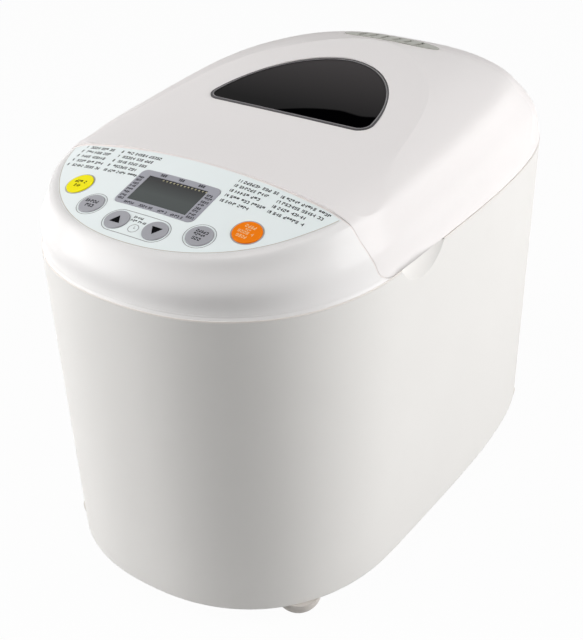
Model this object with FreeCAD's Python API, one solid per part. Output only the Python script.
import FreeCAD, Part
import math
import os

os.makedirs("parts", exist_ok=True)
V = FreeCAD.Vector
UP = V(0, 0, 1)

# Casing, in millimetres; the plan is two half superellipses that meet at the waist
HALF_WIDTH = 115.0
FRONT_DEPTH = 118.0
BACK_DEPTH = 257.0
FRONT_POWER = 2.25
BACK_POWER = 3.83
PLAN_POINTS = 40
FOOT_H = 12.0
BODY_H = 206.0
BODY_TAPER = 4.4
WALL = 2.5
SEAM_GAP = 0.8
LID_GAP = 1.0
FIT = 0.3
PRESS = 0.05
PART_GAP = 0.8

# Upper form: leaning sides, shoulder line and dome
SHOULDER_H = 43.2
SHOULDER_RISE = 0.075
SHOULDER_FALL = 0.0007
FALL_START = 90.0
SIDE_LEAN = 10.3
BACK_LEAN = 36.0
DOME_SLOPE = 0.69
DOME_EASE = 42.6
FORM_TOP = 62.0
FORM_TOP_RISE = 0.065

# Sloping control panel and the parting line behind it, measured back from the waist
PANEL_H = 62.8
PANEL_SLOPE = 0.273
PANEL_CROWN = 555.0
PANEL_ROLL_R = 45.0
PANEL_ROLL_IN = 31.0
PARTING_Y = -34.5
PARTING_H = 53.0
PARTING_SAG = 8.3
PARTING_TILT = 0.36
PARTING_SLANT = 0.542
PARTING_ROOT_Y = -19.9
PARTING_ROUND = 14.0
OVERLAY_T = 0.8
OVERLAY_HALF = 102.5
OVERLAY_DEPTH = 107.5
OVERLAY_POWER = 2.1
OVERLAY_MARGIN = 0.8

# Buttons and display, placed across and back from the waist
MODE_BUTTON_R = 8.4
MODE_BUTTON_X = 60.2
MODE_BUTTON_Y = -72.7
SET_BUTTON_R = 7.8
SET_BUTTON_X = 38.7
SET_BUTTON_Y = -86.5
STEP_BUTTON_R = 7.5
STEP_BUTTON_X = 13.6
STEP_BUTTON_Y = -93.4
BUTTON_PROUD = 0.6
BUTTON_TRAVEL = 0.8
BUTTON_FLANGE = 1.2
BEZEL_HALF_X = 28.3
BEZEL_Y = -66.0
BEZEL_HALF_Y = 15.2
BEZEL_ROUND = 4.0
BEZEL_PROUD = 0.2
LCD_HALF_X = 21.0
LCD_HALF_Y = 11.0
BOARD_DROP = 13.0
BOARD_T = 1.6
BOARD_HALF_X = 72.0
BOARD_HALF_Y = 27.0
BOARD_Y = -76.0
SWITCH_H = 3.6

# Lid: top, window, vent and hinge
FACET_SLOPE = 0.125
FACET_H = 54.6
FACET_Y = 35.0
WINDOW_Y = 44.8
WINDOW_HALF = 60.6
WINDOW_DEPTH = 81.2
WINDOW_POWER = 1.89
WINDOW_CORNER = 9.0
GASKET_W = 2.4
GLASS_T = 3.0
LEDGE_W = 3.0
VENT_Y = 174.0
VENT_HALF_X = 37.0
VENT_HALF_Y = 10.0
VENT_PROUD = 0.4
VENT_SLOTS = 6
VENT_SLOT_W = 3.0
VENT_SLOT_L = 11.0
VENT_PITCH = 9.0
HINGE_X = 42.0
HINGE_R = 5.0
HINGE_OUT = 5.5
PIN_R = 2.0
KNUCKLE_HALF = 6.0
EAR_W = 6.0
LINER_T = 2.0
LINER_H = 2.5
TUB_H = 38.0
TUB_DRAFT = 6.0

# Finger recesses in the body, under the lid edge
RECESS_Y = 21.0
RECESS_R = 28.7
RECESS_H = 14.9
RECESS_BALL_R = 45.0

# Baking chamber, pan and paddle
DECK_T = 3.0
CHAMBER_Y = 24.0
CHAMBER_HALF_X = 82.0
CHAMBER_HALF_Y = 103.0
CHAMBER_ROUND = 26.0
CHAMBER_DEPTH = 152.0
CHAMBER_T = 1.0
FLANGE_W = 5.0
HEATER_R = 3.25
HEATER_INSET = 12.0
HEATER_LIFT = 19.0
HEATER_BEND = 24.0
HEATER_LEG_X = 18.0
SEAT_R = 52.0
SEAT_W = 6.0
SEAT_H = 6.0
PAN_BASE_R = 50.0
PAN_BASE_W = 5.0
PAN_BASE_H = 11.7
PAN_HALF_X = 62.0
PAN_HALF_Y = 82.0
PAN_TAPER = 8.0
PAN_ROUND = 22.0
PAN_WALL = 1.6
PAN_DROP = 7.0
PAN_RIM = 4.0
PAN_SHAFT_R = 4.0
PAN_BUSH_R = 11.0
PAN_BUSH_H = 7.0
HANDLE_R = 2.5
HANDLE_REACH = 58.0
PADDLE_HUB_R = 9.0
PADDLE_HUB_H = 18.0
PADDLE_REACH = 44.0
PADDLE_BLADE_H = 24.0

# Drive: shaft, bearings, pulleys, belt and motor
BASE_T = 3.0
CHASSIS_T = 2.0
BEARING_H = 22.0
SHAFT_R = 5.0
BUSH_R = 9.0
BUSH_H = 8.0
HOUSING_R = 13.0
PULLEY_R = 52.0
MOTOR_PULLEY_R = 8.0
BELT_W = 10.0
BELT_T = 3.0
PULLEY_RIM = 2.0
BELT_DROP = 7.0
COUPLING_R = 20.0
COUPLING_T = 4.0
COUPLING_LIFT = 3.0
DOG_H = 6.0
DOG_IN = 12.0
WING_T = 5.0
WING_REACH = 15.0
WING_W = 7.0
MOTOR_SPACE = 12.0
MOTOR_SHAFT_R = 4.0
STACK_HALF = 33.0
STACK_H = 32.0
ROTOR_R = 20.5
AIR_GAP = 0.5
BRACKET_H = 12.0
COIL_H = 7.0
FAN_R = 26.0
FAN_H = 8.0

# Feet and fixings
FOOT_R = 14.5
FOOT_FLAT_R = 6.0
FOOT_BELLY = 2.3
FOOT_FRONT_X = 81.0
FOOT_FRONT_Y = -66.0
FOOT_REAR_X = 80.0
FOOT_REAR_Y = 204.0
SPIGOT_R = 5.0
POST_R = 6.0
SCREW_R = 1.8
SCREW_HEAD_R = 3.4
SCREW_HEAD_H = 2.2
INLET_R = 9.0
INLET_BORE_R = 4.5
INLET_H = 30.0

WAIST_Y = FRONT_DEPTH - (FRONT_DEPTH + BACK_DEPTH + HINGE_OUT + HINGE_R) / 2
SEAM_Z = FOOT_H + BODY_H
BASE_Z = FOOT_H
BASE_TOP = BASE_Z + BASE_T
FLOOR_Z = SEAM_Z - CHAMBER_DEPTH
CHASSIS_TOP = FLOOR_Z - BEARING_H
CHASSIS_Z = CHASSIS_TOP - CHASSIS_T
MOTOR_Y = CHAMBER_Y - CHAMBER_HALF_Y - MOTOR_SPACE - STACK_HALF
PAN_Z = FLOOR_Z + CHAMBER_T + SEAT_H + FIT + PAN_BASE_H
RIM_Z = SEAM_Z - PAN_DROP


def save(name, shape):
    shape.exportStep("parts/" + name + ".step")


def cylinder(radius, z_low, z_high, x=0.0, y=0.0):
    return Part.makeCylinder(radius, z_high - z_low, V(x, y, z_low))


def ring(outer, inner, z_low, z_high, x=0.0, y=0.0):
    return cylinder(outer, z_low, z_high, x, y).cut(cylinder(inner, z_low, z_high, x, y))


def box(x_low, x_high, y_low, y_high, z_low, z_high):
    return Part.makeBox(x_high - x_low, y_high - y_low, z_high - z_low, V(x_low, y_low, z_low))


def fuse(shapes):
    return shapes[0].multiFuse(shapes[1:]).removeSplitter()


def rounded_wire(half_x, half_y, radius, y_mid, z):
    """Rectangle with round corners, level at height z, centred on x = 0."""
    turn = radius * (1 - math.sqrt(0.5))
    edges = []
    corners = ((1, 1), (-1, 1), (-1, -1), (1, -1))
    ends = []
    for sx, sy in corners:
        on_x = V(sx * half_x, y_mid + sy * (half_y - radius), z)
        on_y = V(sx * (half_x - radius), y_mid + sy * half_y, z)
        middle = V(sx * (half_x - turn), y_mid + sy * (half_y - turn), z)
        first, last = (on_x, on_y) if sx * sy > 0 else (on_y, on_x)
        ends.append((first, last))
        edges.append(Part.Arc(first, middle, last).toShape())
    for (_, last), (first, _) in zip(ends, ends[1:] + ends[:1]):
        edges.append(Part.makeLine(last, first))
    return Part.Wire(Part.__sortEdges__(edges))


def rounded_block(half_x, half_y, radius, y_mid, z_low, z_high):
    face = Part.Face(rounded_wire(half_x, half_y, radius, y_mid, z_low))
    return face.extrude(V(0, 0, z_high - z_low))


def tapered_block(low, high, radius, y_mid, z_low, z_high):
    """Block that runs from one rounded rectangle to another, each given by its half sizes."""
    wires = [rounded_wire(low[0], low[1], radius, y_mid, z_low),
             rounded_wire(high[0], high[1], radius, y_mid, z_high)]
    return Part.makeLoft(wires, True, True)


# Oval casing forms
def plan_ray(i):
    """Direction i round the plan, scaled so that it ends on the unit superellipse."""
    angle = math.pi / 2 + 2 * math.pi * i / PLAN_POINTS
    c, s = math.cos(angle), math.sin(angle)
    power = FRONT_POWER if s < 0 else BACK_POWER
    reach = (abs(c) ** power + abs(s) ** power) ** (-1 / power)
    return c * reach, s * reach


def closed_curve(points):
    curve = Part.BSplineCurve()
    curve.interpolate(Points=points, PeriodicFlag=True)
    return Part.Wire([curve.toShape()])


def plan_wire(inset, z):
    points = []
    for i in range(PLAN_POINTS):
        c, s = plan_ray(i)
        depth = FRONT_DEPTH if s < 0 else BACK_DEPTH
        points.append(V((HALF_WIDTH - inset) * c, WAIST_Y + (depth - inset) * s, z))
    return closed_curve(points)


def body_form(inset, z_low, z_high):
    """Tapered oval of the lower body between two heights, set in by inset."""
    wires = []
    for z in (z_low, z_high):
        taper = BODY_TAPER * (SEAM_Z - z) / BODY_H
        wires.append(plan_wire(inset + taper, z))
    return Part.makeLoft(wires, True, True)


def shoulder_height(y_local):
    fall = SHOULDER_FALL * max(0.0, y_local - FALL_START) ** 2
    return SHOULDER_H + SHOULDER_RISE * y_local - fall


def upper_ring(up, lean, reach, wall):
    """Closed line round the upper form: a share of the shoulder's height and lean, then inwards by reach."""
    points = []
    for i in range(PLAN_POINTS):
        c, s = plan_ray(i)
        depth = FRONT_DEPTH if s < 0 else BACK_DEPTH
        back_share = max(0.0, s) ** BACK_POWER
        inset = (SIDE_LEAN + (BACK_LEAN - SIDE_LEAN) * back_share) * lean + reach + wall
        y_local = (depth - inset) * s
        dome = DOME_SLOPE * reach / (1 + reach / DOME_EASE)
        height = (shoulder_height(y_local) - wall) * up + dome
        points.append(V((HALF_WIDTH - inset) * c, WAIST_Y + y_local, SEAM_Z + height))
    return points


SIDE_RINGS = ((0.0, 0.0), (0.35, 0.12), (0.65, 0.40), (0.85, 0.70), (1.0, 1.0))
DOME_REACHES = (8.0, 20.0, 36.0, 54.0)
CROWN_REACH = 72.0


def upper_form(wall):
    """Pillow that the control housing and the lid are cut from, set in by wall."""
    rings = [upper_ring(up, lean, 0.0, wall) for up, lean in SIDE_RINGS]
    rings += [upper_ring(1.0, 1.0, reach, wall) for reach in DOME_REACHES]
    top = SEAM_Z + FORM_TOP - wall
    crown = upper_ring(1.0, 1.0, CROWN_REACH, wall)
    rings.append([V(p.x, p.y, top + FORM_TOP_RISE * (p.y - WAIST_Y)) for p in crown])
    return Part.makeLoft([closed_curve(points) for points in rings], True, False, False, 3)


TILT = math.atan(PANEL_SLOPE)
PANEL_ALONG = V(0, math.cos(TILT), math.sin(TILT))
PANEL_NORMAL = V(0, -math.sin(TILT), math.cos(TILT))
PANEL_ROOT = V(0, WAIST_Y, SEAM_Z + PANEL_H)
FAR = 400.0
CUT_MARGIN = 4.0
ROLL_X = HALF_WIDTH - PANEL_ROLL_IN
TOP_REACH = HALF_WIDTH + CUT_MARGIN


def rolled_section(crown, roll, drop, depth, place):
    """Section under a crowned top that rolls down at its sides, lowered by drop; place sets its points."""
    turn = math.asin(ROLL_X / crown)
    hub_x, hub_z = (crown - roll) * math.sin(turn), (crown - roll) * math.cos(turn) - crown
    radius = roll - drop
    end = math.asin((TOP_REACH - hub_x) / radius)
    rolls = []
    for side in (-1, 1):
        arc = []
        for angle in (end, (end + turn) / 2, turn):
            arc.append(place(side * (hub_x + radius * math.sin(angle)), hub_z + radius * math.cos(angle)))
        rolls.append(arc)
    left, right = rolls
    low_left, low_right = place(-TOP_REACH, -depth), place(TOP_REACH, -depth)
    edges = [Part.Arc(*left).toShape(), Part.Arc(left[2], place(0, -drop), right[2]).toShape(),
             Part.Arc(*reversed(right)).toShape(), Part.makeLine(right[0], low_right),
             Part.makeLine(low_right, low_left), Part.makeLine(low_left, left[0])]
    return Part.Wire(edges)


def panel_block(drop):
    """All that lies under the sloping panel surface, lowered by drop."""
    def place(x, rise):
        return PANEL_ROOT - PANEL_ALONG * (FAR / 2) + PANEL_NORMAL * rise + V(x, 0, 0)

    section = rolled_section(PANEL_CROWN, PANEL_ROLL_R, drop, FAR / 4, place)
    return Part.Face(section).extrude(PANEL_ALONG * FAR)


def panel_spot(x, y_local):
    """Point of the panel surface above (x, y_local), and the normal there."""
    level = math.sqrt(1 - (x / PANEL_CROWN) ** 2)
    along = (y_local - PANEL_CROWN * math.sin(TILT) * (1 - level)) / math.cos(TILT)
    normal = V(x / PANEL_CROWN, 0, 0) + PANEL_NORMAL * level
    axis = PANEL_ROOT - PANEL_NORMAL * PANEL_CROWN
    return axis + PANEL_ALONG * along + normal * PANEL_CROWN, normal


# Heights along the lid's centre line: a shallow saddle in front runs into the flat oval facet
def facet_height(y_local):
    return FACET_H + FACET_SLOPE * (y_local - FACET_Y)


# Each station: place, height, crown and side roll
LID_STATIONS = ((-70.0, 53.8, PANEL_CROWN, PANEL_ROLL_R), (-40.0, 53.5, 600.0, PANEL_ROLL_R),
                (-5.0, 53.2, 1000.0, PANEL_ROLL_R), (FACET_Y, facet_height(FACET_Y), 4000.0, 4000.0),
                (75.0, facet_height(75.0), 20000.0, 20000.0), (150.0, facet_height(150.0), 20000.0, 20000.0),
                (BACK_DEPTH, facet_height(BACK_DEPTH), 20000.0, 20000.0))


def lid_block(drop):
    """All that lies under the lid's top, lowered by drop."""
    sections = []
    for y_local, height, crown, roll in LID_STATIONS:
        def place(x, rise, y=WAIST_Y + y_local, top=SEAM_Z + height):
            return V(x, y, top + rise)

        sections.append(rolled_section(crown, roll, drop, height + CUT_MARGIN, place))
    return Part.makeLoft(sections, True, False, False, 3)


LID_Z = SEAM_Z + LID_GAP
SLANT = math.atan(PARTING_SLANT)
PARTING_HALF_TURN = (math.pi / 2 - SLANT) / 2
PARTING_TRIM = PARTING_ROUND * math.tan(PARTING_HALF_TURN)


def lid_region(back_off):
    """Space behind the parting surface, moved back by back_off: slanted sides, bowed across the top."""
    top = SEAM_Z + 2 * FORM_TOP
    rear = 2 * BACK_DEPTH
    rise = V(0, -math.sin(SLANT), math.cos(SLANT))
    root = V(0, WAIST_Y + PARTING_ROOT_Y + back_off / math.cos(SLANT), LID_Z)
    inward = (rise + V(0, 1, 0)).normalize()
    centre = root + inward * (PARTING_ROUND / math.cos(PARTING_HALF_TURN))
    slant_end = root + rise * PARTING_TRIM
    flat_end = root + V(0, PARTING_TRIM, 0)
    high = root + rise * ((top - LID_Z) / rise.z)
    corners = [flat_end, V(0, rear, LID_Z), V(0, rear, top), high, slant_end]
    edges = [Part.makeLine(a, b) for a, b in zip(corners, corners[1:])]
    edges.append(Part.Arc(slant_end, centre - inward * PARTING_ROUND, flat_end).toShape())
    side = Part.Face(Part.Wire(edges))
    side.translate(V(-FAR / 2, 0, 0))
    slanted = side.extrude(V(FAR, 0, 0))
    y = WAIST_Y + PARTING_Y + back_off + PARTING_TILT * (SEAM_Z + PARTING_H)
    end_y = y - PARTING_SAG * (TOP_REACH / HALF_WIDTH) ** 2
    corners = [V(TOP_REACH, end_y, 0), V(TOP_REACH, rear, 0), V(-TOP_REACH, rear, 0), V(-TOP_REACH, end_y, 0)]
    edges = [Part.makeLine(a, b) for a, b in zip(corners, corners[1:])]
    edges.append(Part.Arc(corners[3], V(0, y, 0), corners[0]).toShape())
    bowed = Part.Face(Part.Wire(edges)).extrude(V(0, -PARTING_TILT, 1) * top)
    return slanted.common(bowed)


# Lower body: oval sleeve with ledges for the base and deck, finger scoops, hinge ears and cord inlet hole
HINGE_Y = WAIST_Y + BACK_DEPTH + HINGE_OUT
HINGE_Z = LID_Z
EAR_GAP = 0.4
GUSSET_H = 20.0
GUSSET_TURN = math.radians(37.0)
LEDGE_H = 2.5
LEDGE_IN = 5.0
RECESS_OUT = math.sqrt(RECESS_BALL_R ** 2 - RECESS_R ** 2)
INLET_Z = FOOT_H + INLET_H


def recess_ball(side, radius):
    return Part.makeSphere(radius, V(side * (HALF_WIDTH + RECESS_OUT), WAIST_Y + RECESS_Y, SEAM_Z + RECESS_H))


def hinge_ear(x_low):
    """Gusset and barrel that carry a hinge pin behind the body."""
    root = HINGE_Y - HINGE_OUT - 2 * WALL
    touch_y = HINGE_Y + HINGE_R * math.cos(GUSSET_TURN)
    touch_z = HINGE_Z - HINGE_R * math.sin(GUSSET_TURN)
    profile = [V(x_low, root, HINGE_Z - GUSSET_H), V(x_low, touch_y, touch_z),
               V(x_low, HINGE_Y, HINGE_Z), V(x_low, root, SEAM_Z)]
    gusset = Part.Face(Part.makePolygon(profile + profile[:1])).extrude(V(EAR_W, 0, 0))
    barrel = Part.makeCylinder(HINGE_R, EAR_W, V(x_low, HINGE_Y, HINGE_Z), V(1, 0, 0))
    bore = Part.makeCylinder(PIN_R + PRESS, EAR_W, V(x_low, HINGE_Y, HINGE_Z), V(1, 0, 0))
    return gusset.fuse(barrel).cut(bore)


def body_shell():
    outer = body_form(0, FOOT_H, SEAM_Z)
    inner = body_form(WALL, FOOT_H, SEAM_Z)
    shell = outer.cut(inner)
    for z in (BASE_TOP, SEAM_Z - DECK_T - LEDGE_H):
        ledge = body_form(WALL / 2, z, z + LEDGE_H).cut(body_form(WALL + LEDGE_IN, z, z + LEDGE_H))
        shell = shell.fuse(ledge)
    for side in (-1, 1):
        shell = shell.fuse(recess_ball(side, RECESS_BALL_R + WALL).common(outer))
        shell = shell.cut(recess_ball(side, RECESS_BALL_R))
        for offset in (-KNUCKLE_HALF - EAR_GAP - EAR_W, KNUCKLE_HALF + EAR_GAP):
            shell = shell.fuse(hinge_ear(side * HINGE_X + offset).cut(inner))
    hole = Part.makeCylinder(INLET_R - WALL, FAR, V(0, 0, INLET_Z), V(0, 1, 0))
    return shell.cut(hole)


save("body_shell", body_shell())

# Hinge pins, one through each pair of ears
pin_half = KNUCKLE_HALF + EAR_GAP + EAR_W
pins = []
for side in (-1, 1):
    start = V(side * HINGE_X - pin_half, HINGE_Y, HINGE_Z)
    pins.append(Part.makeCylinder(PIN_R, 2 * pin_half, start, V(1, 0, 0)))
save("hinge_pins", Part.makeCompound(pins))

# Mains inlet bush in the rear wall
rear_y = WAIST_Y + BACK_DEPTH - BODY_TAPER * (SEAM_Z - INLET_Z) / BODY_H
inlet = Part.makeCylinder(INLET_R - WALL - PRESS, 3 * WALL, V(0, rear_y - 2 * WALL, INLET_Z), V(0, 1, 0))
inlet = inlet.fuse(Part.makeCylinder(INLET_R, WALL, V(0, rear_y + FIT, INLET_Z), V(0, 1, 0)))
inlet = inlet.cut(Part.makeCylinder(INLET_BORE_R, FAR, V(0, rear_y - FAR / 2, INLET_Z), V(0, 1, 0)))
save("cord_inlet", inlet)

# Base plate with posts for the chassis, vent slots and foot sockets
POSTS = ((-58.0, MOTOR_Y), (58.0, MOTOR_Y), (-78.0, -55.0), (78.0, -55.0), (-78.0, 85.0), (78.0, 85.0))
FEET = (("foot_front_left", -FOOT_FRONT_X, FOOT_FRONT_Y), ("foot_front_right", FOOT_FRONT_X, FOOT_FRONT_Y),
        ("foot_rear_left", -FOOT_REAR_X, FOOT_REAR_Y), ("foot_rear_right", FOOT_REAR_X, FOOT_REAR_Y))
SLOT_COUNT = 7
SLOT_PITCH = 9.0
SLOT_HALF = 2.0
SLOT_LENGTH = 26.0


def base_plate():
    plate = body_form(WALL + FIT, BASE_Z, BASE_TOP)
    for x, y in POSTS:
        plate = plate.fuse(cylinder(POST_R, BASE_Z, CHASSIS_Z, x, y))
        plate = plate.cut(cylinder(SCREW_R, BASE_Z, BASE_TOP + 3 * POST_R, x, y))
    for _, x, y_local in FEET:
        plate = plate.cut(cylinder(SPIGOT_R + PRESS, BASE_Z, BASE_TOP, x, WAIST_Y + y_local))
    for i in range(SLOT_COUNT):
        x = SLOT_PITCH * (i - (SLOT_COUNT - 1) / 2)
        plate = plate.cut(box(x - SLOT_HALF, x + SLOT_HALF, MOTOR_Y - SLOT_LENGTH, MOTOR_Y, BASE_Z, BASE_TOP))
    return plate


save("base_plate", base_plate())

# Domed feet, each with a spigot in the base plate
rim_low, rim_high = V(FOOT_FLAT_R, 0, 0), V(FOOT_R, 0, BASE_Z)
outward = V(BASE_Z, 0, FOOT_FLAT_R - FOOT_R).normalize()
bulge = (rim_low + rim_high) / 2 + outward * FOOT_BELLY
spigot_top = BASE_TOP - FIT
profile = [Part.makeLine(V(0, 0, 0), rim_low), Part.Arc(rim_low, bulge, rim_high).toShape(),
           Part.makeLine(rim_high, V(SPIGOT_R, 0, BASE_Z)),
           Part.makeLine(V(SPIGOT_R, 0, BASE_Z), V(SPIGOT_R, 0, spigot_top)),
           Part.makeLine(V(SPIGOT_R, 0, spigot_top), V(0, 0, spigot_top)),
           Part.makeLine(V(0, 0, spigot_top), V(0, 0, 0))]
foot = Part.Face(Part.Wire(profile)).revolve(V(0, 0, 0), UP, 360)
for name, x, y_local in FEET:
    save(name, foot.translated(V(x, WAIST_Y + y_local, 0)))

screws = []
for x, y in POSTS:
    shank = cylinder(SCREW_R - PRESS, BASE_Z, BASE_TOP + 2 * POST_R, x, y)
    screws.append(shank.fuse(cylinder(SCREW_HEAD_R, BASE_Z - SCREW_HEAD_H, BASE_Z, x, y)))
save("base_screws", Part.makeCompound(screws))


# Buttons: each stands along the panel's own normal
BUTTONS = (("menu_button", -MODE_BUTTON_X, MODE_BUTTON_Y, MODE_BUTTON_R),
           ("start_button", MODE_BUTTON_X, MODE_BUTTON_Y, MODE_BUTTON_R),
           ("weight_button", -SET_BUTTON_X, SET_BUTTON_Y, SET_BUTTON_R),
           ("color_button", SET_BUTTON_X, SET_BUTTON_Y, SET_BUTTON_R),
           ("up_button", -STEP_BUTTON_X, STEP_BUTTON_Y, STEP_BUTTON_R),
           ("down_button", STEP_BUTTON_X, STEP_BUTTON_Y, STEP_BUTTON_R))
FLANGE_T = 1.2
STEM_R = 2.5
BUTTON_EDGE = 0.35
board_root = panel_spot(0, BOARD_Y)[0] - PANEL_NORMAL * BOARD_DROP


def on_panel(shape, x, y_local):
    """Sets a shape built about the origin on the panel surface, along its normal."""
    spot, normal = panel_spot(x, y_local)
    moved = shape.copy()
    moved.Placement = FreeCAD.Placement(spot, FreeCAD.Rotation(UP, normal))
    return moved


def board_depth(x, y_local):
    """Distance from the panel surface down a button's axis to the circuit board."""
    spot, normal = panel_spot(x, y_local)
    return (spot - board_root).dot(PANEL_NORMAL) / normal.dot(PANEL_NORMAL)


for name, x, y_local, radius in BUTTONS:
    cap = cylinder(radius, -WALL - FIT - FLANGE_T, BUTTON_PROUD)
    cap = cap.makeFillet(BUTTON_EDGE, [e for e in cap.Edges if e.BoundBox.ZMin > 0])
    flange = cylinder(radius + BUTTON_FLANGE, -WALL - FIT - FLANGE_T, -WALL - FIT)
    stem_end = SWITCH_H + BUTTON_TRAVEL + FIT / 2 - board_depth(x, y_local)
    stem = cylinder(STEM_R, stem_end, -WALL - FIT)
    save(name, on_panel(fuse([cap, flange, stem]), x, y_local))

# Circuit board under the panel, with a switch below each button
SWITCH_HALF = 3.0
PLUNGER_R = 1.7
PLUNGER_H = 1.0
board_turn = FreeCAD.Placement(board_root, FreeCAD.Rotation(V(1, 0, 0), math.degrees(TILT)))


def on_board(shape):
    moved = shape.copy()
    moved.Placement = board_turn
    return moved


board = on_board(box(-BOARD_HALF_X, BOARD_HALF_X, -BOARD_HALF_Y, BOARD_HALF_Y, -BOARD_T, 0))
board = board.common(upper_form(WALL + 2 * FIT))
switches = []
for name, x, y_local, radius in BUTTONS:
    spot, normal = panel_spot(x, y_local)
    foot_point = board_turn.inverse().multVec(spot - normal * board_depth(x, y_local))
    sx, sy = foot_point.x, foot_point.y
    body = box(sx - SWITCH_HALF, sx + SWITCH_HALF, sy - SWITCH_HALF, sy + SWITCH_HALF,
               0, SWITCH_H - PLUNGER_H)
    plunger = cylinder(PLUNGER_R, 0, SWITCH_H, sx, sy)
    switches.append(on_board(body.fuse(plunger)))
save("tact_switches", Part.makeCompound(switches))

# Display: bezel through the panel, glass in it, module between the glass and the board
MODULE_RIM = 3.0
MODULE_ROUND = 1.0
bezel = rounded_block(BEZEL_HALF_X, BEZEL_HALF_Y, BEZEL_ROUND, 0, -WALL, WALL)
bezel_hole = rounded_block(BEZEL_HALF_X + FIT / 2, BEZEL_HALF_Y + FIT / 2, BEZEL_ROUND, 0,
                           -4 * WALL, 4 * WALL)
view = box(-LCD_HALF_X, LCD_HALF_X, -LCD_HALF_Y, LCD_HALF_Y, -WALL, WALL)
glass = box(-LCD_HALF_X + PRESS, LCD_HALF_X - PRESS, -LCD_HALF_Y + PRESS, LCD_HALF_Y - PRESS, -WALL, -FIT)
module = rounded_block(LCD_HALF_X + MODULE_RIM, LCD_HALF_Y + MODULE_RIM, MODULE_ROUND, 0, -BOARD_DROP, -WALL)
save("display_bezel", on_panel(bezel.cut(view), 0, BEZEL_Y).common(panel_block(-BEZEL_PROUD)))
save("lcd_glass", on_panel(glass, 0, BEZEL_Y))
save("lcd_module", on_panel(module, 0, BEZEL_Y))


# Control housing: front of the pillow under the panel, with a wall along the parting surface
def overlay_form():
    """Lens-shaped membrane in the panel surface."""
    points = []
    for i in range(PLAN_POINTS // 2 + 1):
        angle = math.pi * (1 + 2 * i / PLAN_POINTS)
        c, s = math.cos(angle), math.sin(angle)
        reach = (abs(c) ** OVERLAY_POWER + abs(s) ** OVERLAY_POWER) ** (-1 / OVERLAY_POWER)
        points.append(V(OVERLAY_HALF * c * reach, WAIST_Y + OVERLAY_DEPTH * s * reach, SEAM_Z))
    curve = Part.BSplineCurve()
    curve.interpolate(points)
    face = Part.Face(Part.Wire([curve.toShape(), Part.makeLine(points[-1], points[0])]))
    prism = face.extrude(V(0, 0, FAR / 4))
    prism = prism.cut(lid_region(-PART_GAP - OVERLAY_MARGIN))
    return prism.common(panel_block(0)).cut(panel_block(OVERLAY_T))


PARTING_FOOT = WAIST_Y + PARTING_ROOT_Y + PARTING_TRIM - PART_GAP
SPIGOT_END = PARTING_FOOT - 4 * WALL
BOSS_R = 3.0
BOARD_BOSSES = ((-62.0, 20.0), (62.0, 20.0), (-30.0, -21.0), (30.0, -21.0))


def control_housing(overlay):
    rear = box(-FAR, FAR, PARTING_FOOT, FAR, 0, LID_Z)
    below = box(-FAR, FAR, -FAR, FAR, 0, SEAM_Z + SEAM_GAP)
    outer = upper_form(0).common(panel_block(0)).cut(lid_region(-PART_GAP))
    inner = upper_form(WALL).common(panel_block(WALL)).cut(lid_region(-PART_GAP - WALL))
    shell = outer.cut(inner).cut(rear).cut(below)
    front = box(-FAR, FAR, -FAR, SPIGOT_END, 0, FAR)
    spigot = body_form(WALL + FIT, SEAM_Z - DECK_T, SEAM_Z).cut(body_form(2 * WALL, SEAM_Z - DECK_T, SEAM_Z))
    root = plan_wire(WALL / 2, SEAM_Z + SEAM_GAP)
    root_in = plan_wire(2 * WALL, SEAM_Z)
    band = Part.Face(root).extrude(V(0, 0, LEDGE_H))
    lip = Part.Face(plan_wire(WALL + FIT, SEAM_Z)).extrude(V(0, 0, SEAM_GAP))
    band = band.fuse(lip).cut(Part.Face(root_in).extrude(V(0, 0, 2 * LEDGE_H)))
    shell = shell.fuse(band.fuse(spigot).common(front))
    for x, y in BOARD_BOSSES:
        boss = on_board(cylinder(BOSS_R, 0, 2 * BOARD_DROP, x, y))
        shell = shell.fuse(boss.common(panel_block(WALL / 2)))
    shell = shell.cut(overlay)
    for name, x, y_local, radius in BUTTONS:
        shell = shell.cut(on_panel(cylinder(radius + FIT / 2, -2 * WALL, 2 * WALL), x, y_local))
    return shell.cut(on_panel(bezel_hole, 0, BEZEL_Y))


overlay = overlay_form()
save("control_housing", control_housing(overlay))
for name, x, y_local, radius in BUTTONS:
    overlay = overlay.cut(on_panel(cylinder(radius + FIT / 2, -2 * WALL, 2 * WALL), x, y_local))
save("panel_overlay", overlay.cut(on_panel(bezel_hole, 0, BEZEL_Y)))
save("control_board", board)


# Lid: shell behind the parting line, with window frame, vent hole and hinge knuckles
FACET_TILT = math.atan(FACET_SLOPE)
FACET_ALONG = V(0, math.cos(FACET_TILT), math.sin(FACET_TILT))
FACET_NORMAL = V(0, -math.sin(FACET_TILT), math.cos(FACET_TILT))
FACET_ROOT = V(0, WAIST_Y + FACET_Y, SEAM_Z + FACET_H)
FRAME_W = 3.0
FRAME_T = 6.5
FRAME_TOP = 1.0
GLASS_SINK = 0.4
WINDOW_POINTS = 24
ARM_LENGTH = 14.0
recess_depth = GLASS_SINK + GLASS_T
tub_top = SEAM_Z + TUB_H


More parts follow.
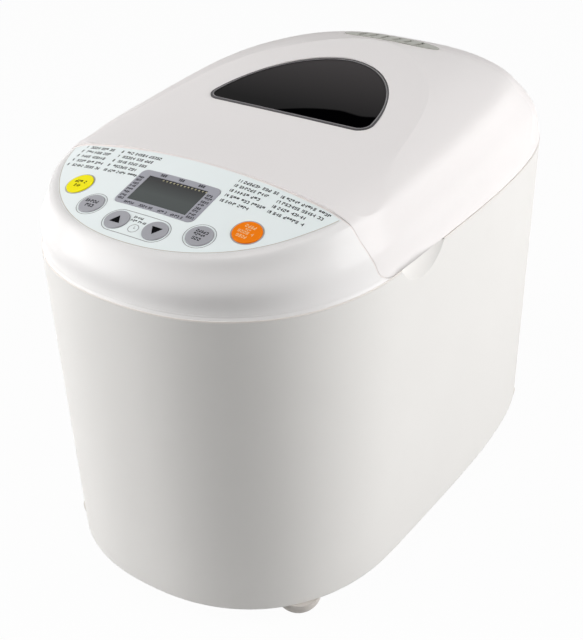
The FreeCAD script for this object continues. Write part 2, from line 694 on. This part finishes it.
def window_block(inset, low, high):
    """Window outline, straight in front and round behind, drawn out along the facet's normal."""
    points = []
    for i in range(WINDOW_POINTS + 1):
        angle = math.pi * i / WINDOW_POINTS
        c, s = math.cos(angle), abs(math.sin(angle))
        x = math.copysign((WINDOW_HALF - inset) * abs(c) ** (2 / WINDOW_POWER), c)
        y = WINDOW_Y + inset + (WINDOW_DEPTH - 2 * inset) * s ** (2 / WINDOW_POWER)
        along = (y - FACET_Y) / math.cos(FACET_TILT)
        points.append(FACET_ROOT + FACET_ALONG * along + FACET_NORMAL * low + V(x, 0, 0))
    curve = Part.BSplineCurve()
    curve.interpolate(points)
    face = Part.Face(Part.Wire([curve.toShape(), Part.makeLine(points[-1], points[0])]))
    block = face.extrude(FACET_NORMAL * (high - low))
    corners = [e for e in block.Edges if abs(e.tangentAt(e.FirstParameter).dot(FACET_NORMAL)) > 0.999]
    return block.makeFillet(WINDOW_CORNER - inset, corners)


def vent_plug(grow):
    edge = Part.Ellipse(V(0, WAIST_Y + VENT_Y, SEAM_Z), VENT_HALF_X + grow, VENT_HALF_Y + grow).toShape()
    return Part.Face(Part.Wire([edge])).extrude(V(0, 0, 2 * FORM_TOP))


def lid_shell(inner_form):
    shell = upper_form(0).common(lid_block(0)).common(lid_region(0))
    inner = inner_form.common(lid_block(WALL)).common(lid_region(WALL))
    shell = shell.cut(inner)
    shell = shell.fuse(window_block(-FRAME_W, -FRAME_T, -FRAME_TOP))
    shell = shell.cut(window_block(0, -recess_depth, recess_depth))
    shell = shell.cut(window_block(GASKET_W + LEDGE_W, -2 * FRAME_T, 2 * FRAME_T))
    for side in (-1, 1):
        low, high = side * HINGE_X - KNUCKLE_HALF, side * HINGE_X + KNUCKLE_HALF
        barrel = Part.makeCylinder(HINGE_R, 2 * KNUCKLE_HALF, V(low, HINGE_Y, HINGE_Z), V(1, 0, 0))
        arm = box(low, high, HINGE_Y - ARM_LENGTH, HINGE_Y, HINGE_Z, HINGE_Z + HINGE_R)
        bore = Part.makeCylinder(PIN_R + PRESS, 2 * KNUCKLE_HALF, V(low, HINGE_Y, HINGE_Z), V(1, 0, 0))
        shell = shell.fuse(barrel.fuse(arm).cut(inner_form)).cut(bore)
    return shell.cut(vent_plug(0))


inner_form = upper_form(WALL)
save("lid_shell", lid_shell(inner_form))

# Window: gasket round the glass on the frame's ledge
gasket = window_block(PRESS, -recess_depth, 0).cut(window_block(GASKET_W, -recess_depth, 0))
save("window_gasket", gasket)
save("window_glass", window_block(GASKET_W + PRESS, -recess_depth, -GLASS_SINK))

# Steam vent grille, a little proud of the dome
grille = vent_plug(-FIT / 2).common(upper_form(-VENT_PROUD)).cut(inner_form)
for i in range(VENT_SLOTS):
    x = VENT_PITCH * (i - (VENT_SLOTS - 1) / 2)
    y = WAIST_Y + VENT_Y
    half_w, half_l = VENT_SLOT_W / 2, VENT_SLOT_L / 2
    grille = grille.cut(box(x - half_w, x + half_w, y - half_l, y + half_l, SEAM_Z, SEAM_Z + 2 * FORM_TOP))
save("vent_grille", grille)

# Lid liner: rim plate, raised tub over the chamber and collar round the window
LINER_SLACK = 0.2
COLLAR_T = 2.5
liner_z = SEAM_Z + LINER_H
tub_low = (CHAMBER_HALF_X, CHAMBER_HALF_Y)
tub_high = (CHAMBER_HALF_X - TUB_DRAFT, CHAMBER_HALF_Y - TUB_DRAFT)
rim_slab = box(-FAR, FAR, -FAR, FAR, liner_z, liner_z + LINER_T)
rim_plate = upper_form(WALL + LINER_SLACK).common(rim_slab).common(lid_region(WALL + LINER_SLACK))
tub_in = tapered_block(tub_low, tub_high, CHAMBER_ROUND, CHAMBER_Y, liner_z, tub_top - LINER_T)
out_low = [half + LINER_T for half in tub_low]
out_high = [half + LINER_T for half in tub_high]
tub_out = tapered_block(out_low, out_high, CHAMBER_ROUND, CHAMBER_Y, liner_z, tub_top)
collar = window_block(-FRAME_W, -FAR / 4, -FRAME_T).cut(window_block(COLLAR_T - FRAME_W, -FAR / 4, -FRAME_T))
collar = collar.common(box(-FAR, FAR, -FAR, FAR, tub_top - LINER_T, FAR))
liner = rim_plate.fuse(tub_out).cut(tub_in).fuse(collar)
liner = liner.cut(window_block(GASKET_W + LEDGE_W, -FAR / 4, 0))
save("lid_liner", liner)
slab = box(-FAR, FAR, -FAR, FAR, tub_top, tub_top + GLASS_T)
save("inner_window", slab.common(window_block(COLLAR_T - FRAME_W + FIT, -FAR / 4, 0)))

# Deck plate round the mouth of the baking chamber
deck = body_form(WALL + FIT, SEAM_Z - DECK_T, SEAM_Z)
deck = deck.common(box(-FAR, FAR, SPIGOT_END + FIT, FAR, 0, FAR))
deck = deck.cut(rounded_block(CHAMBER_HALF_X + FIT, CHAMBER_HALF_Y + FIT, CHAMBER_ROUND, CHAMBER_Y, 0, FAR))
for side in (-1, 1):
    deck = deck.cut(recess_ball(side, RECESS_BALL_R + WALL + FIT))
save("chamber_deck", deck)

# Baking chamber: drawn box hung by its flange, with holes for the drive, heater legs and probe
CHAMBER_HOLE_R = 7.0
BEAD_R = 6.0
PROBE_R = 3.0
PROBE_X = 45.0
PROBE_LIFT = 70.0
floor_top = FLOOR_Z + CHAMBER_T
chamber_front = CHAMBER_Y - CHAMBER_HALF_Y
heater_z = FLOOR_Z + HEATER_LIFT
probe_z = FLOOR_Z + PROBE_LIFT


def along_y(radius, x, y_low, y_high, z):
    return Part.makeCylinder(radius, y_high - y_low, V(x, y_low, z), V(0, 1, 0))


def chamber():
    inner_x, inner_y = CHAMBER_HALF_X - CHAMBER_T, CHAMBER_HALF_Y - CHAMBER_T
    shell = rounded_block(CHAMBER_HALF_X, CHAMBER_HALF_Y, CHAMBER_ROUND, CHAMBER_Y, FLOOR_Z, SEAM_Z)
    shell = shell.fuse(rounded_block(CHAMBER_HALF_X + FLANGE_W, CHAMBER_HALF_Y + FLANGE_W,
                                     CHAMBER_ROUND + FLANGE_W, CHAMBER_Y, SEAM_Z, SEAM_Z + CHAMBER_T))
    shell = shell.cut(rounded_block(inner_x, inner_y, CHAMBER_ROUND - CHAMBER_T, CHAMBER_Y, floor_top, FAR))
    shell = shell.cut(cylinder(CHAMBER_HOLE_R, FLOOR_Z, floor_top, 0, CHAMBER_Y))
    for side in (-1, 1):
        shell = shell.cut(along_y(BEAD_R + PRESS, side * HEATER_LEG_X, chamber_front, CHAMBER_Y, heater_z))
    return shell.cut(along_y(PROBE_R + PRESS, PROBE_X, chamber_front, CHAMBER_Y, probe_z))


save("oven_chamber", chamber())


# Tube heater: loop round the chamber with two legs out through the front wall
def bent_path(points, radii):
    """Line through level points with a round bend at each inner one."""
    edges = []
    start = points[0]
    for before, corner, after, radius in zip(points, points[1:], points[2:], radii):
        into = (corner - before).normalize()
        out = (after - corner).normalize()
        half = math.acos(max(-1.0, min(1.0, into.dot(out)))) / 2
        trim = radius * math.tan(half)
        first, last = corner - into * trim, corner + out * trim
        inward = (out - into).normalize()
        middle = corner + inward * (radius / math.cos(half) - radius)
        edges += [Part.makeLine(start, first), Part.Arc(first, middle, last).toShape()]
        start = last
    edges.append(Part.makeLine(start, points[-1]))
    return Part.Wire(edges)


def rod(path, radius):
    edge = path.Edges[0]
    start = edge.valueAt(edge.FirstParameter)
    profile = Part.Wire([Part.makeCircle(radius, start, edge.tangentAt(edge.FirstParameter))])
    return path.makePipeShell([profile], True, False)


LEG_BEND = 10.0
LEG_OUT = 10.0
BEAD_OUT = 6.0
BEAD_IN = 3.0
loop_x = CHAMBER_HALF_X - HEATER_INSET
loop_front = chamber_front + HEATER_INSET
loop_back = CHAMBER_Y + CHAMBER_HALF_Y - HEATER_INSET
corners = [(-HEATER_LEG_X, chamber_front - LEG_OUT), (-HEATER_LEG_X, loop_front), (-loop_x, loop_front),
           (-loop_x, loop_back), (loop_x, loop_back), (loop_x, loop_front), (HEATER_LEG_X, loop_front),
           (HEATER_LEG_X, chamber_front - LEG_OUT)]
bends = [LEG_BEND, HEATER_BEND, HEATER_BEND, HEATER_BEND, HEATER_BEND, LEG_BEND]
save("heating_element", rod(bent_path([V(x, y, heater_z) for x, y in corners], bends), HEATER_R))
beads = []
for side in (-1, 1):
    x = side * HEATER_LEG_X
    bead = along_y(BEAD_R, x, chamber_front - BEAD_OUT, chamber_front + BEAD_IN - CHAMBER_T, heater_z)
    beads.append(bead.cut(along_y(HEATER_R + PRESS, x, chamber_front - LEG_OUT, CHAMBER_Y, heater_z)))
save("heater_beads", Part.makeCompound(beads))

# Clips that carry the heater on the chamber's side walls
CLIP_W = 10.0
CLIP_T = 1.2
clips = []
wall_x = CHAMBER_HALF_X - CHAMBER_T
for side in (-1, 1):
    inner, outer = loop_x - 2 * HEATER_R, wall_x
    y_low, y_high = CHAMBER_Y - CLIP_W / 2, CHAMBER_Y + CLIP_W / 2
    shelf_top = heater_z - HEATER_R
    shelf = box(inner, outer, y_low, y_high, shelf_top - CLIP_T, shelf_top)
    hook = box(inner - CLIP_T, inner, y_low, y_high, shelf_top - CLIP_T, heater_z)
    tab = box(outer - CLIP_T, outer, y_low, y_high, floor_top + CLIP_W, shelf_top)
    clip = fuse([shelf, hook, tab])
    clips.append(clip if side > 0 else clip.mirror(V(0, 0, 0), V(1, 0, 0)))
save("heater_clips", Part.makeCompound(clips))

# Temperature probe through the front wall
PROBE_HEAD_R = 7.0
PROBE_IN = 14.0
probe = along_y(PROBE_R, PROBE_X, chamber_front - PROBE_IN, chamber_front + PROBE_IN, probe_z)
probe = probe.fuse(along_y(PROBE_HEAD_R, PROBE_X, chamber_front - PROBE_R, chamber_front, probe_z))
save("temperature_probe", probe)

# Seat ring on the chamber floor and the spring clips that hold the pan down
SPRING_T = 1.2
SPRING_W = 16.0
SPRING_H = 8.0
SPRING_BULGE = 1.5
save("pan_seat", ring(SEAT_R, SEAT_R - SEAT_W, floor_top, floor_top + SEAT_H, 0, CHAMBER_Y))
springs = []
for side in (-1, 1):
    leaf_top = floor_top + SEAT_H + SPRING_H
    y_low, y_high = CHAMBER_Y - SPRING_W / 2, CHAMBER_Y + SPRING_W / 2
    leaf = box(SEAT_R, SEAT_R + SPRING_T, y_low, y_high, floor_top, leaf_top)
    toe = box(SEAT_R, SEAT_R + 2 * SPRING_H, y_low, y_high, floor_top, floor_top + SPRING_T)
    bead = along_y(SPRING_BULGE, SEAT_R + FIT, y_low, y_high, leaf_top - SPRING_BULGE)
    leaf = fuse([leaf, toe, bead])
    if side < 0:
        leaf = leaf.mirror(V(0, 0, 0), V(1, 0, 0))
    springs.append(leaf)
save("pan_clips", Part.makeCompound(springs))

# Bread pan: tapered drawn box with rolled rim and handle lugs
LUG_W = 7.0
LUG_T = 4.0
RIM_T = 2.0
LUG_DROP = 8.0
PAN_SPIGOT_R = 8.0
HANDLE_GAP = 1.0
LUG_SINK = 1.0
handle_z = RIM_Z + HANDLE_R + HANDLE_GAP
lug_y = PAN_HALF_Y + PAN_RIM - LUG_SINK
RIB_R = 5.0
RIB_SINK = 2.5


def pan_form(inset, z_low, z_high):
    low = (PAN_HALF_X - PAN_TAPER - inset, PAN_HALF_Y - PAN_TAPER - inset)
    high = (PAN_HALF_X - inset, PAN_HALF_Y - inset)
    return tapered_block(low, high, PAN_ROUND - inset, CHAMBER_Y, z_low, z_high)


def bread_pan():
    pan = pan_form(0, PAN_Z, RIM_Z)
    pan = pan.fuse(rounded_block(PAN_HALF_X + PAN_RIM, PAN_HALF_Y + PAN_RIM, PAN_ROUND + PAN_RIM, CHAMBER_Y,
                                 RIM_Z - RIM_T, RIM_Z))
    for side in (-1, 1):
        y_low = CHAMBER_Y + min(side * lug_y, side * (lug_y + LUG_T))
        lug = box(-LUG_W, LUG_W, y_low, y_low + LUG_T, RIM_Z - LUG_DROP, handle_z)
        pan = pan.fuse(lug.fuse(along_y(LUG_W, 0, y_low, y_low + LUG_T, handle_z)))
        pan = pan.cut(along_y(HANDLE_R + PRESS, 0, y_low, y_low + LUG_T, handle_z))
    hollow = pan_form(PAN_WALL, PAN_Z, RIM_Z).cut(box(-FAR, FAR, -FAR, FAR, 0, PAN_Z + PAN_WALL))
    for side in (-1, 1):
        foot_x = side * (PAN_HALF_X - PAN_TAPER - PAN_WALL + RIB_R - RIB_SINK)
        head_x = side * (PAN_HALF_X - PAN_WALL + RIB_R - RIB_SINK)
        rise = V(head_x - foot_x, 0, RIM_Z - PAN_Z)
        rib = Part.makeCylinder(RIB_R, rise.Length - 2 * RIB_R, V(foot_x, CHAMBER_Y, PAN_Z), rise)
        hollow = hollow.cut(rib)
    pan = pan.cut(hollow)
    return pan.cut(cylinder(PAN_SPIGOT_R + PRESS, PAN_Z, PAN_Z + PAN_WALL, 0, CHAMBER_Y))


save("bread_pan", bread_pan())

# Bail handle, folded flat on the pan's rim
ARM_GAP = 4.5
EYE_BEND = HANDLE_R + 1.0
ARM_BEND = 10.0
arm_y = lug_y + LUG_T + ARM_GAP
corners = [(0, -lug_y), (0, -arm_y), (HANDLE_REACH, -arm_y), (HANDLE_REACH, arm_y), (0, arm_y), (0, lug_y)]
bends = [EYE_BEND, ARM_BEND, ARM_BEND, EYE_BEND]
save("pan_handle", rod(bent_path([V(x, CHAMBER_Y + y, handle_z) for x, y in corners], bends), HANDLE_R))

# Ring foot of the pan, and the seal bush of its shaft
BUSH_DROP = 4.0
bush_low = PAN_Z - BUSH_DROP
bush_high = PAN_Z + PAN_WALL + PAN_BUSH_H - BUSH_DROP
save("pan_base_ring", ring(PAN_BASE_R, PAN_BASE_R - PAN_BASE_W, PAN_Z - PAN_BASE_H, PAN_Z, 0, CHAMBER_Y))
bush = ring(PAN_SPIGOT_R, PAN_SHAFT_R + PRESS, bush_low, PAN_Z + PAN_WALL, 0, CHAMBER_Y)
collar = ring(PAN_BUSH_R, PAN_SHAFT_R + PRESS, PAN_Z + PAN_WALL, bush_high, 0, CHAMBER_Y)
save("pan_bush", bush.fuse(collar))

# Kneading shaft in the pan with a flat, its driven wing below and the paddle above
FLAT = 1.0
TURN_FIT = 0.06
SHAFT_END = 3.0
hub_low = bush_high + 2 * FIT
hub_high = hub_low + PADDLE_HUB_H
wing_low = floor_top + COUPLING_LIFT + COUPLING_T + 5 * FIT
flat_x = PAN_SHAFT_R - FLAT
shaft = cylinder(PAN_SHAFT_R, wing_low, hub_high - SHAFT_END, 0, CHAMBER_Y)
side_cut = box(flat_x, 2 * PAN_SHAFT_R, CHAMBER_Y - PAN_SHAFT_R, CHAMBER_Y + PAN_SHAFT_R, hub_low, hub_high)
save("pan_shaft", shaft.cut(side_cut))
wing_high = wing_low + WING_T
wing = box(-WING_REACH, WING_REACH, CHAMBER_Y - WING_W / 2, CHAMBER_Y + WING_W / 2, wing_low, wing_high)
wing = wing.common(cylinder(WING_REACH, wing_low, wing_high, 0, CHAMBER_Y))
wing = wing.fuse(cylinder(PAN_SPIGOT_R, wing_low, wing_high, 0, CHAMBER_Y))
save("pan_wing", wing.cut(cylinder(PAN_SHAFT_R, wing_low, wing_high, 0, CHAMBER_Y)))

BLADE_ROOT_T = 4.0
BLADE_TIP_T = 1.8
BLADE_SWEEP = 9.0
BLADE_EDGE = 0.9
UPRIGHT = FreeCAD.Rotation(V(1, 1, 1), 120)


def blade_section(x, half_t, height, y):
    """Upright round-cornered section of the blade at distance x from the shaft."""
    wire = rounded_wire(half_t, height / 2, BLADE_EDGE * half_t, 0, 0)
    wire.Placement = FreeCAD.Placement(V(x, CHAMBER_Y + y, hub_low + height / 2), UPRIGHT)
    return wire


stations = []
for share in (0.0, 0.35, 0.7, 1.0):
    x = PADDLE_HUB_R / 2 + (PADDLE_REACH - PADDLE_HUB_R / 2) * share
    half_t = BLADE_ROOT_T + (BLADE_TIP_T - BLADE_ROOT_T) * share
    height = PADDLE_HUB_H + (PADDLE_BLADE_H - PADDLE_HUB_H) * share
    stations.append(blade_section(x, half_t, height, BLADE_SWEEP * share ** 2))
blade = Part.makeLoft(stations, True, False, False, 3)
paddle = cylinder(PADDLE_HUB_R, hub_low, hub_high, 0, CHAMBER_Y).fuse(blade)
bore = cylinder(PAN_SHAFT_R + TURN_FIT, hub_low, hub_high - SHAFT_END + FIT, 0, CHAMBER_Y)
key = box(flat_x + TURN_FIT, 2 * PAN_SHAFT_R, CHAMBER_Y - PAN_SHAFT_R, CHAMBER_Y + PAN_SHAFT_R,
          hub_low, hub_high)
save("kneading_paddle", paddle.cut(bore.cut(key)))

# Chassis plate on the base posts, with the bearing housing of the drive shaft
CHASSIS_INSET = 16.0
CHASSIS_FRONT = -168.0
CHASSIS_BACK = 100.0
HOUSING_FLANGE_R = 26.0
HOUSING_FLANGE_T = 3.0
WEB_EDGE = 2.0
WEB_HALF = 1.5
WEB_LEAN = 30.0
WEB_COUNT = 4
chassis = body_form(CHASSIS_INSET, CHASSIS_Z, CHASSIS_TOP)
chassis = chassis.common(box(-FAR, FAR, CHASSIS_FRONT, CHASSIS_BACK, 0, FAR))
chassis = chassis.cut(cylinder(HOUSING_R + PRESS, CHASSIS_Z, CHASSIS_TOP, 0, CHAMBER_Y))
chassis = chassis.cut(cylinder(HOUSING_R, CHASSIS_Z, CHASSIS_TOP, 0, MOTOR_Y))
save("chassis_plate", chassis)
housing = cylinder(HOUSING_R, CHASSIS_Z, FLOOR_Z, 0, CHAMBER_Y)
housing = housing.fuse(cylinder(HOUSING_FLANGE_R, CHASSIS_TOP, CHASSIS_TOP + HOUSING_FLANGE_T, 0, CHAMBER_Y))
web_end = HOUSING_FLANGE_R - WEB_EDGE
for turn in range(WEB_COUNT):
    web = box(0, web_end, CHAMBER_Y - WEB_HALF, CHAMBER_Y + WEB_HALF, CHASSIS_TOP, FLOOR_Z - CHAMBER_T)
    slope = box(0, FAR, CHAMBER_Y - FAR, CHAMBER_Y + FAR, 0, FAR)
    slope.rotate(V(0, CHAMBER_Y, 0), V(0, 1, 0), -WEB_LEAN)
    slope.translate(V(web_end, 0, CHASSIS_TOP + HOUSING_FLANGE_T))
    web = web.cut(slope)
    web.rotate(V(0, CHAMBER_Y, 0), UP, 360 * (turn + 0.5) / WEB_COUNT)
    housing = housing.fuse(web)
save("bearing_housing", housing.cut(cylinder(BUSH_R + PRESS, CHASSIS_Z, FLOOR_Z, 0, CHAMBER_Y)))
bushes = []
for z_low in (CHASSIS_Z, FLOOR_Z - BUSH_H):
    bushes.append(ring(BUSH_R, SHAFT_R + PRESS, z_low, z_low + BUSH_H, 0, CHAMBER_Y))
save("shaft_bushes", Part.makeCompound(bushes))

# Drive shaft, pulley and coupling that turn the kneading shaft
belt_low = CHASSIS_Z - BELT_DROP - BELT_W
belt_high = belt_low + BELT_W
PULLEY_HUB_R = 11.0
WEB_T = 4.0
WEB_HOLE_R = 10.0
WEB_HOLES = 6
SHAFT_DROP = 4.0
DOG_EDGE = 1.0
coupling_low = floor_top + COUPLING_LIFT
coupling_top = coupling_low + COUPLING_T
save("drive_shaft", cylinder(SHAFT_R, belt_low - SHAFT_DROP, coupling_top, 0, CHAMBER_Y))


def belt_pulley(radius, y):
    """Flat belt pulley with a flange on each side of the belt."""
    flange = radius + BELT_T + PULLEY_RIM / 2
    lower = cylinder(flange, belt_low - PULLEY_RIM, belt_low, 0, y)
    upper = cylinder(flange, belt_high, belt_high + PULLEY_RIM, 0, y)
    return fuse([cylinder(radius, belt_low, belt_high, 0, y), lower, upper])


def drive_pulley():
    pulley = belt_pulley(PULLEY_R, CHAMBER_Y)
    middle = (belt_low + belt_high) / 2
    for z_low, z_high in ((0, middle - WEB_T / 2), (middle + WEB_T / 2, FAR)):
        pulley = pulley.cut(ring(PULLEY_R - WEB_T, PULLEY_HUB_R, z_low, z_high, 0, CHAMBER_Y))
    reach = (PULLEY_R + PULLEY_HUB_R) / 2
    for turn in range(WEB_HOLES):
        angle = 2 * math.pi * turn / WEB_HOLES
        x, y = reach * math.cos(angle), CHAMBER_Y + reach * math.sin(angle)
        pulley = pulley.cut(cylinder(WEB_HOLE_R, 0, FAR, x, y))
    return pulley.cut(cylinder(SHAFT_R + PRESS, 0, FAR, 0, CHAMBER_Y))


save("drive_pulley", drive_pulley())
coupling = cylinder(COUPLING_R, coupling_low, coupling_top, 0, CHAMBER_Y)
dog = ring(COUPLING_R - DOG_EDGE, DOG_IN, coupling_top, coupling_top + DOG_H, 0, CHAMBER_Y)
dog = dog.common(box(-WING_W, WING_W, CHAMBER_Y - FAR, CHAMBER_Y + FAR, 0, FAR))
save("drive_coupling", fuse([coupling, dog]).cut(cylinder(SHAFT_R + PRESS, 0, FAR, 0, CHAMBER_Y)))


# Flat belt round the two pulleys
def belt_form(grow):
    """Stretched outline round both pulleys, set out by grow."""
    small, large = MOTOR_PULLEY_R + grow, PULLEY_R + grow
    n_y = (small - large) / (CHAMBER_Y - MOTOR_Y)
    n_x = math.sqrt(1 - n_y ** 2)
    small_y, large_y = MOTOR_Y + n_y * small, CHAMBER_Y + n_y * large
    left_small, left_large = V(-n_x * small, small_y), V(-n_x * large, large_y)
    right_small, right_large = V(n_x * small, small_y), V(n_x * large, large_y)
    front = Part.Arc(left_small, V(0, MOTOR_Y - small), right_small).toShape()
    back = Part.Arc(right_large, V(0, CHAMBER_Y + large), left_large).toShape()
    sides = [Part.makeLine(right_small, right_large), Part.makeLine(left_large, left_small)]
    face = Part.Face(Part.Wire([front, sides[0], back, sides[1]]))
    face.translate(V(0, 0, belt_low + FIT))
    return face.extrude(V(0, 0, BELT_W - 2 * FIT))


save("drive_belt", belt_form(FIT + BELT_T).cut(belt_form(FIT)))

# Motor: pulley and shaft, rotor, laminated stack, coils and two open brackets held by long bolts
PLATE_T = 3.0
PILLAR_R = 5.0
PILLAR_IN = 6.0
STACK_ROUND = 8.0
ROTOR_OVER = 1.0
BOSS_H = 8.0
MOTOR_BOSS_R = 9.0
COIL_OUT = 31.0
COIL_IN = 23.0
FAN_GAP = 3.0
FAN_BLADES = 7
FAN_DISC_T = 1.2
FAN_BLADE_HALF = 0.7
FAN_EDGE = 1.0
pillar_at = STACK_HALF - PILLAR_IN
stack_low = CHASSIS_TOP + BRACKET_H
stack_high = stack_low + STACK_H
motor_top = stack_high + BRACKET_H
fan_low = motor_top + FAN_GAP
pillars = [(sx * pillar_at, MOTOR_Y + sy * pillar_at) for sx in (-1, 1) for sy in (-1, 1)]


def square(half, z_low, z_high):
    return rounded_block(half, half, STACK_ROUND, MOTOR_Y, z_low, z_high)


def bracket(plate_low, pillar_low, pillar_high, boss_low):
    boss = cylinder(MOTOR_BOSS_R, boss_low, boss_low + BOSS_H, 0, MOTOR_Y)
    shapes = [square(STACK_HALF, plate_low, plate_low + PLATE_T), boss]
    shapes += [cylinder(PILLAR_R, pillar_low, pillar_high, x, y) for x, y in pillars]
    part = fuse(shapes).cut(cylinder(MOTOR_SHAFT_R + PRESS, 0, FAR, 0, MOTOR_Y))
    for x, y in pillars:
        part = part.cut(cylinder(SCREW_R, 0, FAR, x, y))
    return part


save("motor_bracket_low", bracket(CHASSIS_TOP, CHASSIS_TOP, stack_low, CHASSIS_TOP))
save("motor_bracket_high", bracket(motor_top - PLATE_T, stack_high, motor_top, motor_top - BOSS_H))
stack = square(STACK_HALF, stack_low, stack_high).cut(cylinder(ROTOR_R + AIR_GAP, 0, FAR, 0, MOTOR_Y))
for x, y in pillars:
    stack = stack.cut(cylinder(SCREW_R, 0, FAR, x, y))
save("motor_stator", stack)
coils = [ring(COIL_OUT, COIL_IN, stack_low - COIL_H, stack_low, 0, MOTOR_Y),
         ring(COIL_OUT, COIL_IN, stack_high, stack_high + COIL_H, 0, MOTOR_Y)]
save("motor_coils", Part.makeCompound(coils))
bolts = []
for x, y in pillars:
    shank = cylinder(SCREW_R - PRESS, CHASSIS_TOP, motor_top, x, y)
    bolts.append(shank.fuse(cylinder(SCREW_HEAD_R, motor_top, motor_top + SCREW_HEAD_H, x, y)))
save("motor_bolts", Part.makeCompound(bolts))
save("motor_rotor", ring(ROTOR_R, MOTOR_SHAFT_R + PRESS, stack_low - ROTOR_OVER, stack_high + ROTOR_OVER,
                         0, MOTOR_Y))
save("motor_shaft", cylinder(MOTOR_SHAFT_R, belt_low - PULLEY_RIM, fan_low + FAN_H, 0, MOTOR_Y))
shaft_bore = cylinder(MOTOR_SHAFT_R + PRESS, 0, FAR, 0, MOTOR_Y)
save("motor_pulley", belt_pulley(MOTOR_PULLEY_R, MOTOR_Y).cut(shaft_bore))
fan = cylinder(MOTOR_BOSS_R, fan_low, fan_low + FAN_H, 0, MOTOR_Y)
fan = fan.fuse(cylinder(FAN_R, fan_low, fan_low + FAN_DISC_T, 0, MOTOR_Y))
for turn in range(FAN_BLADES):
    blade = box(0, FAN_R - FAN_EDGE, MOTOR_Y - FAN_BLADE_HALF, MOTOR_Y + FAN_BLADE_HALF,
                fan_low, fan_low + FAN_H)
    blade.rotate(V(0, MOTOR_Y, 0), UP, 360 * turn / FAN_BLADES)
    fan = fan.fuse(blade)
save("motor_fan", fan.cut(shaft_bore))

# Power board beside the motor, with its relay and mains filter
POWER_X = 62.0
POWER_HALF_Y = 26.0
POWER_H = 58.0
POWER_T = 1.6
RELAY = 15.0
RELAY_T = 12.0
FILTER_T = 8.0
FILTER_H = 24.0
RELAY_DROP = 22.5
power = box(POWER_X, POWER_X + POWER_T, MOTOR_Y - POWER_HALF_Y, MOTOR_Y + POWER_HALF_Y,
            CHASSIS_TOP, CHASSIS_TOP + POWER_H)
relay_z = CHASSIS_TOP + POWER_H - RELAY_DROP
relay = box(POWER_X - RELAY_T, POWER_X, MOTOR_Y - RELAY, MOTOR_Y, relay_z, relay_z + RELAY)
face_x = POWER_X + POWER_T
filter_box = box(face_x, face_x + FILTER_T, MOTOR_Y, MOTOR_Y + FILTER_H, CHASSIS_TOP, CHASSIS_TOP + FILTER_H)
save("power_board", fuse([power, relay, filter_box]))
